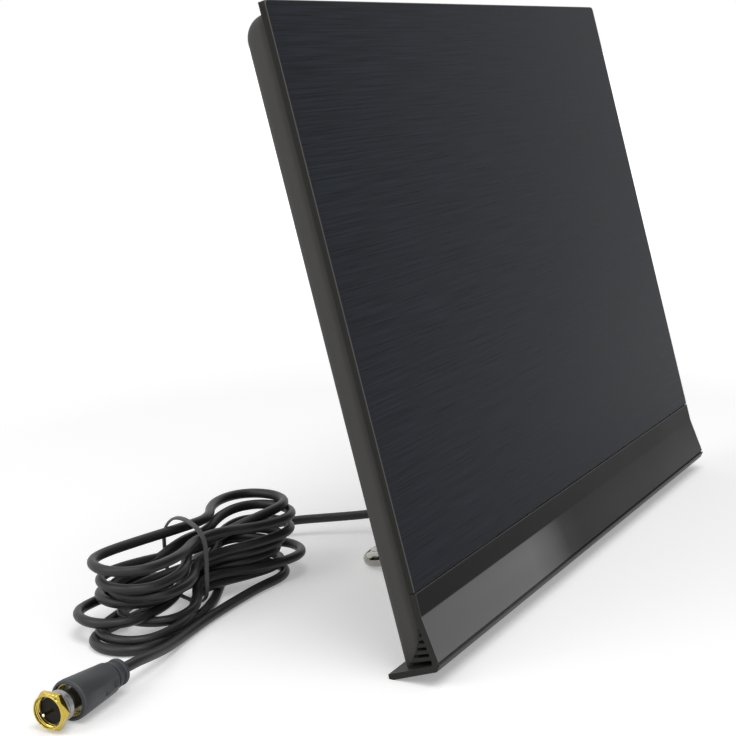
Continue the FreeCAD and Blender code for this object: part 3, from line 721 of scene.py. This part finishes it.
def strip_finish():
    """Satin plastic: a darker band; a skirt with painted sheen, lighter in grey and with more coat
    over its left half; a lighter lip; plain ends and foot; painted highlights along the side and
    top edges.
    """
    finish = Finish("strip_satin", Specular_IOR_Level=0.04, Coat_Roughness=0.3)
    where = finish.lean_place()
    texture = finish.group(MOULDED, where, Grain=1800.0)
    place = finish.axes(where)
    reach = finish.math("ABSOLUTE", place["X"])
    end = finish.span(reach, HALF_WIDTH - 0.0003, HALF_WIDTH - 0.0001, 0.0, 1.0)
    rear = finish.span(place["Y"], 0.00008, 0.0002, 0.0, 1.0)
    plain = finish.math("MAXIMUM", end, rear)
    below = finish.span(place["Z"], BAND_BOTTOM - 0.0002, BAND_BOTTOM + 0.0002, 1.0, 0.0)
    lip = finish.span(place["Z"], GROOVE_BOTTOM - 0.0001, GROOVE_BOTTOM + 0.00005, 1.0, 0.0)
    # Lighter grey along the side and top edges: a painted highlight.
    side = finish.span(reach, HALF_WIDTH - 0.0007, HALF_WIDTH - 0.0004, 0.0, 1.0)
    top = finish.span(place["Z"], -0.0006, -0.0004, 0.0, 1.0)
    painted_edge_highlight = finish.math("MAXIMUM", side, top)
    skirt = finish.math("SUBTRACT", below, finish.math("MAXIMUM", plain, lip))
    skirt = finish.math("MAXIMUM", skirt, 0.0)
    across = finish.span(place["X"], -HALF_WIDTH, HALF_WIDTH, 0.0, 1.0)
    # Painted reflection: more coat over the skirt's left half, fading out toward the right.
    painted_reflection_coat = finish.ramp(
        across,
        (0.0, grey(0.97)),
        (0.3, grey(1.0)),
        (0.36, grey(0.6)),
        (0.41, grey(0.1)),
        (0.46, grey(0.0)),
        (1.0, grey(0.0)),
    )
    band = finish.ramp(texture["Tone"], (0.3, grey(0.006)), (0.7, grey(0.009)))
    # The skirt's lighter grey is painted sheen.
    skirt_painted_sheen = finish.ramp(texture["Tone"], (0.3, grey(0.016)), (0.7, grey(0.021)))
    dull = finish.ramp(
        texture["Tone"],
        (0.3, grey(0.032, PLAIN_TINT)),
        (0.7, grey(0.039, PLAIN_TINT)),
    )
    front = finish.mixed(painted_edge_highlight, finish.mixed(skirt, band, skirt_painted_sheen), grey(0.06))
    front = finish.mixed(lip, front, grey(0.05))
    finish.feed("Base Color", finish.mixed(plain, front, dull))
    finish.feed("Roughness", finish.span(texture["Tone"], 0.3, 0.7, 0.34, 0.42))
    finish.feed("Coat Weight", finish.math("MULTIPLY", skirt, painted_reflection_coat))
    finish.bump(texture["Height"], 0.06, 0.00008)
    return finish.material


def boot_finish():
    """Blue-grey moulded boot with painted highlights: lighter lines at its ring edges and front
    lip.
    """
    finish = Finish("boot_plastic", Specular_IOR_Level=0.3)
    texture = finish.group(MOULDED, Grain=1800.0)
    slate = (0.94, 0.98, 1.08)
    tone = finish.ramp(texture["Tone"], (0.3, grey(0.046, slate)), (0.7, grey(0.057, slate)))
    front = PLUG_REAR.x - BOOT_LENGTH
    along = finish.span(finish.axes(finish.place)["X"], PLUG_REAR.x, front, 0.0, 1.0)
    # Lighter lines at the ring edges and the front lip are painted highlights.
    stops = [(0.0, grey(0.0))]
    for at in (0.056, 0.122, 0.178, 0.245, 0.972):
        stops += [(at - 0.012, grey(0.0)), (at, grey(1.0)), (at + 0.012, grey(0.0))]
    finish.feed("Base Color", finish.mixed(finish.ramp(along, *stops), tone, grey(0.1, slate)))
    finish.feed("Roughness", finish.span(texture["Tone"], 0.3, 0.7, 0.45, 0.55))
    finish.bump(texture["Height"], 0.15, 0.0001)
    return finish.material


def metal_finish(name, dark, light, rough_low, rough_high, grain, strength=0.05):
    """A plated metal: faint clouding in its colour and gloss, and a fine drawn grain."""
    finish = Finish(name, Metallic=1.0)
    texture = finish.group(MOULDED, Grain=grain, Broad=260.0)
    finish.feed("Base Color", finish.ramp(texture["Tone"], (0.3, dark), (0.7, light)))
    finish.feed("Roughness", finish.span(texture["Tone"], 0.3, 0.7, rough_low, rough_high))
    finish.bump(texture["Height"], strength, 0.00005)
    return finish.material


def plug_gold_finish(name, mask):
    """Gold plating that turns dark or pale where a mask says so."""
    finish = Finish(name, Metallic=1.0)
    texture = finish.group(MOULDED, Grain=4000.0, Broad=140.0)
    gold = finish.ramp(texture["Tone"], (0.32, (0.5, 0.365, 0.055)), (0.68, (0.62, 0.48, 0.1)))
    share, colour = mask(finish)
    finish.feed("Base Color", finish.mixed(share, gold, colour))
    finish.feed("Roughness", finish.span(texture["Tone"], 0.3, 0.7, 0.06, 0.12))
    finish.bump(texture["Height"], 0.015, 0.00005)
    return finish.material


def bore_shade(finish):
    """The nut's bore, darkened to brown as painted shade."""
    place = finish.axes(finish.place)
    out = [finish.math("SUBTRACT", place[a], PLUG_REAR[i]) for a, i in (("Y", 1), ("Z", 2))]
    square = [finish.math("MULTIPLY", o, o) for o in out]
    radius = finish.math("SQRT", finish.math("ADD", *square))
    return finish.span(radius, 0.00519, 0.0053, 1.0, 0.0), (0.10, 0.07, 0.018)


def pale_tip(finish):
    """The pin's tip, pale and nearly white."""
    reach = finish.axes(finish.place)["X"]
    share = finish.span(reach, PALE_TIP_START - 0.00015, PALE_TIP_START, 1.0, 0.0)
    return share, (0.92, 0.9, 0.87)


def laminate_finish():
    """A green glass laminate, with its weave just showing."""
    finish = Finish("board_laminate", Roughness=0.45)
    weave = []
    for direction in ("X", "Z"):
        wave = finish.node("ShaderNodeTexWave")
        wave.bands_direction = direction
        wave.inputs["Scale"].default_value = 180.0
        wave.inputs["Distortion"].default_value = 0.4
        finish.link(finish.place, wave.inputs["Vector"])
        weave.append(wave.outputs["Fac"])
    woven = finish.math("MULTIPLY", *weave)
    green = finish.ramp(woven, (0.0, (0.01, 0.075, 0.03)), (1.0, (0.02, 0.12, 0.05)))
    finish.feed("Base Color", green)
    finish.bump(woven, 0.1, 0.0001)
    return finish.material


def finishes():
    """One finish for each of the record's material slots."""
    return {
        "brushed_panel": panel_finish(),
        "housing_plastic": housing_finish(),
        "strip_plastic": strip_finish(),
        "screw_steel": metal_finish(
            "black_zinc", (0.045, 0.045, 0.05), (0.09, 0.09, 0.095), 0.32, 0.45, 3000.0
        ),
        "board_laminate": laminate_finish(),
        "radiator_foil": metal_finish(
            "copper_foil", (0.48, 0.2, 0.09), (0.62, 0.29, 0.14), 0.28, 0.42, 900.0
        ),
        "can_steel": metal_finish(
            "tinned_steel", (0.5, 0.5, 0.49), (0.64, 0.64, 0.63), 0.22, 0.38, 700.0
        ),
        "stand_chrome": metal_finish(
            "stand_chrome", (0.31, 0.3, 0.275), (0.41, 0.395, 0.36), 0.06, 0.12, 5000.0, 0.02
        ),
        "cable_jacket": moulded_finish(
            "cable_jacket", 0.014, 0.022, 0.42, 0.1, 2200.0, Specular_IOR_Level=0.4
        ),
        "tie_coating": moulded_finish(
            "tie_coating", 0.14, 0.17, 0.5, 0.1, 2500.0, Specular_IOR_Level=0.3
        ),
        "boot_plastic": boot_finish(),
        # A darker copy of the plug's gold: the gold is real, its darkness painted shade of the cup
        # it lines.
        "plug_gold": metal_finish(
            "plug_gold", (0.3, 0.24, 0.07), (0.44, 0.36, 0.12), 0.2, 0.32, 4000.0
        ),
        "plug_nickel": metal_finish(
            "plug_nickel", (0.3, 0.3, 0.31), (0.4, 0.4, 0.41), 0.28, 0.4, 4000.0
        ),
        "insulator_plastic": moulded_finish(
            "insulator_plastic",
            0.012,
            0.018,
            0.55,
            0.05,
            2500.0,
            DULL_TINT,
            Specular_IOR_Level=0.2,
        ),
    }


# Pieces of the antenna.
def paint_kept_nodes(looks):
    """Give each solid its slot's finish: the panel and what the housing holds show as they are."""
    for row in frame["record"]["subparts"]:
        mesh = frame["nodes"][row["node"]].data
        mesh.materials.clear()
        mesh.materials.append(looks[row["material_slot"]])


def make_shells(looks):
    """The housing, the grooved strip and the stand, with facets joined and edges eased."""
    housing = merged_copy("housing_shell", "rear_housing")
    soften(housing, 0.00025)
    finished(housing, "antenna", "housing_plastic", looks["housing_plastic"], "rear_housing")
    strip = merged_copy("foot_strip", "base_strip")
    turn = Matrix.Translation(JOINT) @ Matrix.Rotation(-LEAN, 4, "X")
    low = (-HALF_WIDTH - 0.0075, -0.006, GROOVE_BOTTOM)
    high = (HALF_WIDTH + 0.0075, -0.0016, GROOVE_TOP)
    groove = block("groove", low, high, turn)
    strip = cut_away(strip, [groove])
    smooth_by_angle(strip.data, 30.0)
    soften(strip, 0.0002)
    finished(strip, "antenna", "strip_plastic", looks["strip_plastic"], "base_strip")
    stand = merged_copy("rod_stand", "wire_stand", 40.0)
    finished(stand, "antenna", "stand_chrome", looks["stand_chrome"], "wire_stand")


def screw(name, head, thick, length, shank=1.1, slot=0.8, depth=0.7):
    """A screw with a domed head and a cross recess, its head's top at the origin, facing +Z."""
    outline = [
        (0.0, 0.0),
        (0.0, 0.55 * head),
        (-0.12 * thick, 0.82 * head),
        (-0.4 * thick, head),
        (-thick, head),
        (-thick, shank),
        (-thick - length + shank, shank),
        (-thick - length, 0.0),
    ]
    body = turned(name, outline, Vector(), Vector((0, 0, 1)), 40)
    reach = 0.58 * head * MM
    half = slot * MM / 2
    deep = depth * MM
    cutters = [
        block("slot", (-reach, -half, -deep), (reach, half, deep)),
        block("slot", (-half, -reach, -deep), (half, reach, deep)),
    ]
    return cut_away(body, cutters)


def make_screws(looks):
    """The four screws at the back and the three under the foot."""
    tree = fastener_tree()
    rear = REARWARD.to_track_quat("Z", "X").to_euler()
    down = (-UPWARD).to_track_quat("Z", "X").to_euler()
    back = [leaned(x, HOUSING_BACK, z) for x in (-0.1353, 0.1353) for z in (0.014, 0.18075)]
    under = [leaned(x, 0.0105, FOOT_UNDERSIDE) for x in (-0.1125, 0.0, 0.1125)]
    sets = (
        ("back_screws", (2.7, 1.8, 7.2), rear, back, "housing_screws"),
        ("foot_screws", (2.3, 1.1, 9.0), down, under, "strip_screws"),
    )
    for name, sizes, turn, places, node in sets:
        one = screw("one_screw", *sizes)
        values = {"Fastener": one, "Turn": tuple(turn), "Material": looks["screw_steel"]}
        group = grown(name, tree, values, places)
        bpy.data.objects.remove(one)
        finished(group, "antenna", "screw_steel", None, node)


def make_gland(looks):
    """The bush at the back, with ribs on its tapered tail."""
    gland = merged_copy("cable_bush", "cable_gland", 35.0)
    soften(gland, 0.0002)
    finished(gland, "antenna", "cable_jacket", looks["cable_jacket"], "cable_gland")
    values = {
        "Count": 6,
        "Start": tuple(leaned(0, 0.0162, 0.002)),
        "Step": tuple(REARWARD * 0.0016),
        "Turn": tuple(REARWARD.to_track_quat("Z", "X").to_euler()),
        "Radius": 0.00345,
        "Taper": -0.035,
        "Bead": 0.00042,
        "Material": looks["cable_jacket"],
    }
    ribs = grown("bush_ribs", ring_tree(), values)
    finished(ribs, "antenna", "cable_jacket", None)


# The cable and its plug.
def make_cable(looks):
    """The cable as one curve, from the bush through the hank to the plug."""
    points = LEAD_ROUTE + [tuple(p) for p in hank_route()] + TAIL_ROUTE
    curve = nurbs_curve("antenna_cable", points)
    curve.bevel_depth = CABLE_DIAMETER / 2
    curve.bevel_resolution = 5
    curve.use_fill_caps = True
    cable = add_object("antenna_cable", curve)
    solids = ("cable_lead", "cable_hank", "cable_tail")
    finished(cable, "antenna", "cable_jacket", looks["cable_jacket"], *solids)


# The tie's round about the waist: along the hank, across it and up, in millimetres.
TIE_ROUTE = [
    (0.0, 2.0, 0.9),
    (0.0, -3.5, 0.9),
    (0.6, -6.0, 3.0),
    (1.0, -6.1, 8.0),
    (1.0, -6.1, 13.0),
    (1.0, -6.0, 19.6),
    (0.7, -5.8, 25.0),
    (0.2, -3.6, 29.4),
    (-1.0, 1.4, 32.6),
    (-2.4, 5.4, 33.4),
    (-3.2, 8.4, 31.8),
    (-4.0, 10.4, 28.5),
    (-4.0, 11.0, 24.0),
    (-3.0, 11.0, 14.0),
    (-1.5, 10.6, 5.0),
    (0.0, 6.5, 0.9),
    (0.0, 0.5, 1.1),
]


def tie_profile():
    """A flat coated ribbon with a round wire down its middle."""
    half, thin, wire = 0.00115, 0.0003, 0.00052
    outline = [(half, -thin), (half, thin), (wire, thin)]
    outline += [(wire * math.cos(a), wire * math.sin(a)) for a in (1.0, 1.57, 2.14)]
    outline += [(-wire, thin), (-half, thin), (-half, -thin), (-wire, -thin)]
    outline += [(wire * math.cos(a), wire * math.sin(a)) for a in (-2.14, -1.57, -1.0)]
    outline += [(wire, -thin)]
    curve = bpy.data.curves.new("tie_profile", "CURVE")
    curve.dimensions = "2D"
    spline = curve.splines.new("POLY")
    spline.points.add(len(outline) - 1)
    for point, (x, y) in zip(spline.points, outline):
        point.co = (x, y, 0.0, 1.0)
    spline.use_cyclic_u = True
    return add_object("tie_profile", curve)


def make_tie(looks):
    """The tie's ribbon, drawn along its round about the waist."""
    curve = nurbs_curve("hank_tie", [hank_point(*p) for p in TIE_ROUTE])
    profile = tie_profile()
    curve.bevel_mode = "OBJECT"
    curve.bevel_object = profile
    curve.use_fill_caps = True
    curve.twist_mode = "MINIMUM"
    tie = baked(add_object("hank_tie", curve))
    bpy.data.objects.remove(profile)
    smooth_by_angle(tie.data, 50.0)
    return finished(tie, "antenna", "tie_coating", looks["tie_coating"], "cable_tie")


def make_boot(looks):
    """The moulded boot: ringed neck, taper, rounded shoulder with a cup, and two thumb pads."""
    outline = [
        (0.0, 1.9),
        (0.0, 4.3),
        (0.3, 4.6),
        (1.4, 4.6),
        (1.62, 4.45),
        (1.7, 3.9),
        (3.15, 3.9),
        (3.25, 4.45),
        (3.45, 4.65),
        (4.65, 4.65),
        (4.87, 4.5),
        (4.95, 3.9),
        (6.4, 3.9),
        (6.5, 5.1),
        (6.8, 5.38),
        (24.6, 6.8),
        (26.0, 6.8),
        (26.6, 6.66),
        (27.0, 6.3),
        (27.2, 5.9),
        (27.2, 5.6),
        (22.2, 5.6),
        (22.2, 1.9),
    ]
    boot = turned("plug_grip", outline, PLUG_REAR, PLUG_FORWARD, 96)
    soften(boot, 0.00018, 2, 40.0)
    boot = baked(boot)
    front, rear = -0.2172, -0.2117
    low, high = 0.0049, 0.0087
    cutters = []
    for near, far in ((0.0436, 0.04655), (0.05745, 0.0604)):
        cutters.append(block("pad", (front, near, low), (rear, far, high)))
    boot = cut_away(boot, cutters)
    smooth_by_angle(boot.data, 30.0)
    return finished(boot, "antenna", "boot_plastic", looks["boot_plastic"], "plug_boot")


def hexagon(name, flats, low, high):
    """A six-sided bar on the plug's axis with a flat on top, used only to trim the nut."""
    radius = flats / math.sqrt(3)
    work = bmesh.new()
    ends = []
    for x in (low, high):
        ring = []
        for i in range(6):
            out = radius * Vector((0, math.cos(math.pi * i / 3), math.sin(math.pi * i / 3)))
            ring.append(work.verts.new(Vector((x, PLUG_REAR.y, PLUG_REAR.z)) + out))
        ends.append(ring)
        work.faces.new(ring)
    for i in range(6):
        j = (i + 1) % 6
        work.faces.new((ends[0][i], ends[0][j], ends[1][j], ends[1][i]))
    bmesh.ops.recalc_face_normals(work, faces=work.faces)
    mesh = bpy.data.meshes.new(name)
    work.to_mesh(mesh)
    work.free()
    return add_object(name, mesh)


def make_nut(looks):
    """The nut: a short hexagon with a thin round rim, a plain hub behind it, and its thread."""
    rim = [
        (33.9, 4.75),
        (33.9, 5.6),
        (34.2, 6.65),
        (35.5, 6.65),
        (36.0, 5.85),
        (36.05, 5.74),
        (36.75, 5.7),
        (36.9, 5.6),
        (36.9, 5.34),
        (36.7, 5.18),
        (34.6, 5.18),
        (34.4, 4.75),
    ]
    nut = turned("hex_nut", rim, PLUG_REAR, PLUG_FORWARD, 96)
    nut = cut_away(nut, [hexagon("flats", 0.0116, -0.25, -0.22)], "INTERSECT")
    soften(nut, 0.00012)
    nut = baked(nut)
    smooth_by_angle(nut.data, 25.0)
    finished(nut, "nut", "plug_gold", plug_gold_finish("nut_gold", bore_shade), "coupling_nut")
    ring = [
        (32.1, 3.25),
        (32.1, 4.9),
        (32.25, 5.05),
        (33.9, 5.05),
        (33.9, 4.75),
        (33.3, 4.75),
        (33.3, 3.25),
    ]
    hub = turned("nut_hub", ring, PLUG_REAR, PLUG_FORWARD, 96)
    finished(hub, "nut", "plug_nickel", looks["plug_nickel"])
    # A brighter copy of the plug's gold: the gold is real, its extra brightness a painted
    # highlight on the thread.
    bright = metal_finish("thread_gold", (0.6, 0.45, 0.08), (0.8, 0.64, 0.16), 0.1, 0.2, 4000.0)
    values = {
        "Turns": 2.8,
        "Length": 0.0021,
        "Radius": 0.00517,
        "Ridge": 0.00026,
        "Start": (-0.2388, PLUG_REAR.y, PLUG_REAR.z),
        "Turn": (0.0, math.pi / 2, 0.0),
        "Material": bright,
    }
    thread = grown("nut_thread", thread_tree(), values)
    finished(thread, "nut", "plug_gold", None)
    return [nut, hub, thread]


def make_plug_core(looks):
    """The ring deep in the cup, the sleeve, the insulator and the pin."""
    lining = [
        (22.2, 5.05),
        (22.2, 5.55),
        (26.1, 5.55),
        (26.2, 5.45),
        (26.2, 5.15),
        (26.1, 5.05),
    ]
    # The lining's dark gold is partly painted shade inside the cup.
    ring = turned("cup_lining", lining, PLUG_REAR, PLUG_FORWARD, 96)
    made = [finished(ring, "antenna", "plug_gold", looks["plug_gold"], "cup_ring")]
    for name, node, slot, edge in (
        ("post_sleeve", "plug_sleeve", "plug_nickel", 0.0001),
        ("pin_insulator", "plug_insulator", "insulator_plastic", 0.00005),
        ("contact_pin", "centre_pin", "plug_gold", 0.00005),
    ):
        piece = merged_copy(name, node, 35.0)
        soften(piece, edge)
        made.append(finished(piece, "antenna", slot, looks[slot], node))
    made[-1].data.materials[0] = plug_gold_finish("pin_gold", pale_tip)
    return made


# Floor and light.
def make_stage():
    """A plain pale floor."""
    work = bmesh.new()
    bmesh.ops.create_grid(work, x_segments=1, y_segments=1, size=12.0)
    mesh = bpy.data.meshes.new("studio_floor")
    work.to_mesh(mesh)
    work.free()
    floor = add_object("studio_floor", mesh)
    floor.data.materials.append(floor_finish())


def seen_directly(tree):
    """One for rays of the camera, of reflections and of glass, and nothing for the rest."""
    path = tree.nodes.new("ShaderNodeLightPath")
    total = path.outputs["Is Camera Ray"]
    for label in ("Is Glossy Ray", "Is Transmission Ray"):
        most = tree.nodes.new("ShaderNodeMath")
        most.operation = "MAXIMUM"
        tree.links.new(total, most.inputs[0])
        tree.links.new(path.outputs[label], most.inputs[1])
        total = most.outputs["Value"]
    return total


def floor_finish():
    """Pale floor paint that keeps its shadows and meets the white behind it."""
    material = bpy.data.materials.new("floor_paint")
    material.use_nodes = True
    tree = material.node_tree
    tree.nodes.clear()
    output = tree.nodes.new("ShaderNodeOutputMaterial")
    paint = tree.nodes.new("ShaderNodeBsdfDiffuse")
    paint.inputs["Color"].default_value = (0.86, 0.86, 0.86, 1.0)
    glow = tree.nodes.new("ShaderNodeEmission")
    place = tree.nodes.new("ShaderNodeTexCoord")
    reach = tree.nodes.new("ShaderNodeVectorMath")
    reach.operation = "LENGTH"
    tree.links.new(place.outputs["Object"], reach.inputs[0])
    level = tree.nodes.new("ShaderNodeMapRange")
    for label, value in (("From Min", 0.3), ("From Max", 1.2), ("To Min", 0.3), ("To Max", 1.0)):
        level.inputs[label].default_value = value
    tree.links.new(reach.outputs["Value"], level.inputs["Value"])
    share = tree.nodes.new("ShaderNodeMath")
    share.operation = "MULTIPLY"
    tree.links.new(level.outputs["Result"], share.inputs[1])
    tree.links.new(seen_directly(tree), share.inputs[0])
    tree.links.new(share.outputs["Value"], glow.inputs["Strength"])
    both = tree.nodes.new("ShaderNodeAddShader")
    tree.links.new(paint.outputs["BSDF"], both.inputs[0])
    tree.links.new(glow.outputs["Emission"], both.inputs[1])
    tree.links.new(both.outputs["Shader"], output.inputs["Surface"])
    return material


def make_light():
    """A white surround, dimmer as a light than as a background, and three soft lamps."""
    world = bpy.data.worlds.new("studio_world")
    scene.world = world
    world.use_nodes = True
    tree = world.node_tree
    background = tree.nodes["Background"]
    background.inputs["Color"].default_value = (1.0, 1.0, 1.0, 1.0)
    level = tree.nodes.new("ShaderNodeMapRange")
    level.inputs["To Min"].default_value = 0.38
    level.inputs["To Max"].default_value = 1.0
    tree.links.new(seen_directly(tree), level.inputs["Value"])
    tree.links.new(level.outputs["Result"], background.inputs["Strength"])
    lamp("overhead", (-0.35, -0.3, 1.4), (-0.1, 0.05, 0.0), 0.9, 8.0)
    lamp("left_rear", (-1.0, 0.55, 0.8), (-0.1, 0.05, 0.03), 0.7, 4.0)
    lamp("front_fill", (1.3, -0.7, 1.7), (0.05, 0.0, 0.1), 0.7, 3.0)


def lamp(name, place, target, size, power):
    data = bpy.data.lights.new(name, "AREA")
    data.shape = "DISK"
    data.size = size
    data.energy = power
    light = bpy.data.objects.new(name, data)
    light.location = place
    aim = Vector(target) - Vector(place)
    light.rotation_euler = aim.to_track_quat("-Z", "Y").to_euler()
    scene.collection.objects.link(light)


def main():
    set_camera()
    looks = finishes()
    paint_kept_nodes(looks)
    make_shells(looks)
    make_screws(looks)
    make_gland(looks)
    plug = make_plug_core(looks) + make_nut(looks)
    boot = make_boot(looks)
    tie = make_tie(looks)
    make_cable(looks)
    make_stage()
    make_light()


main()
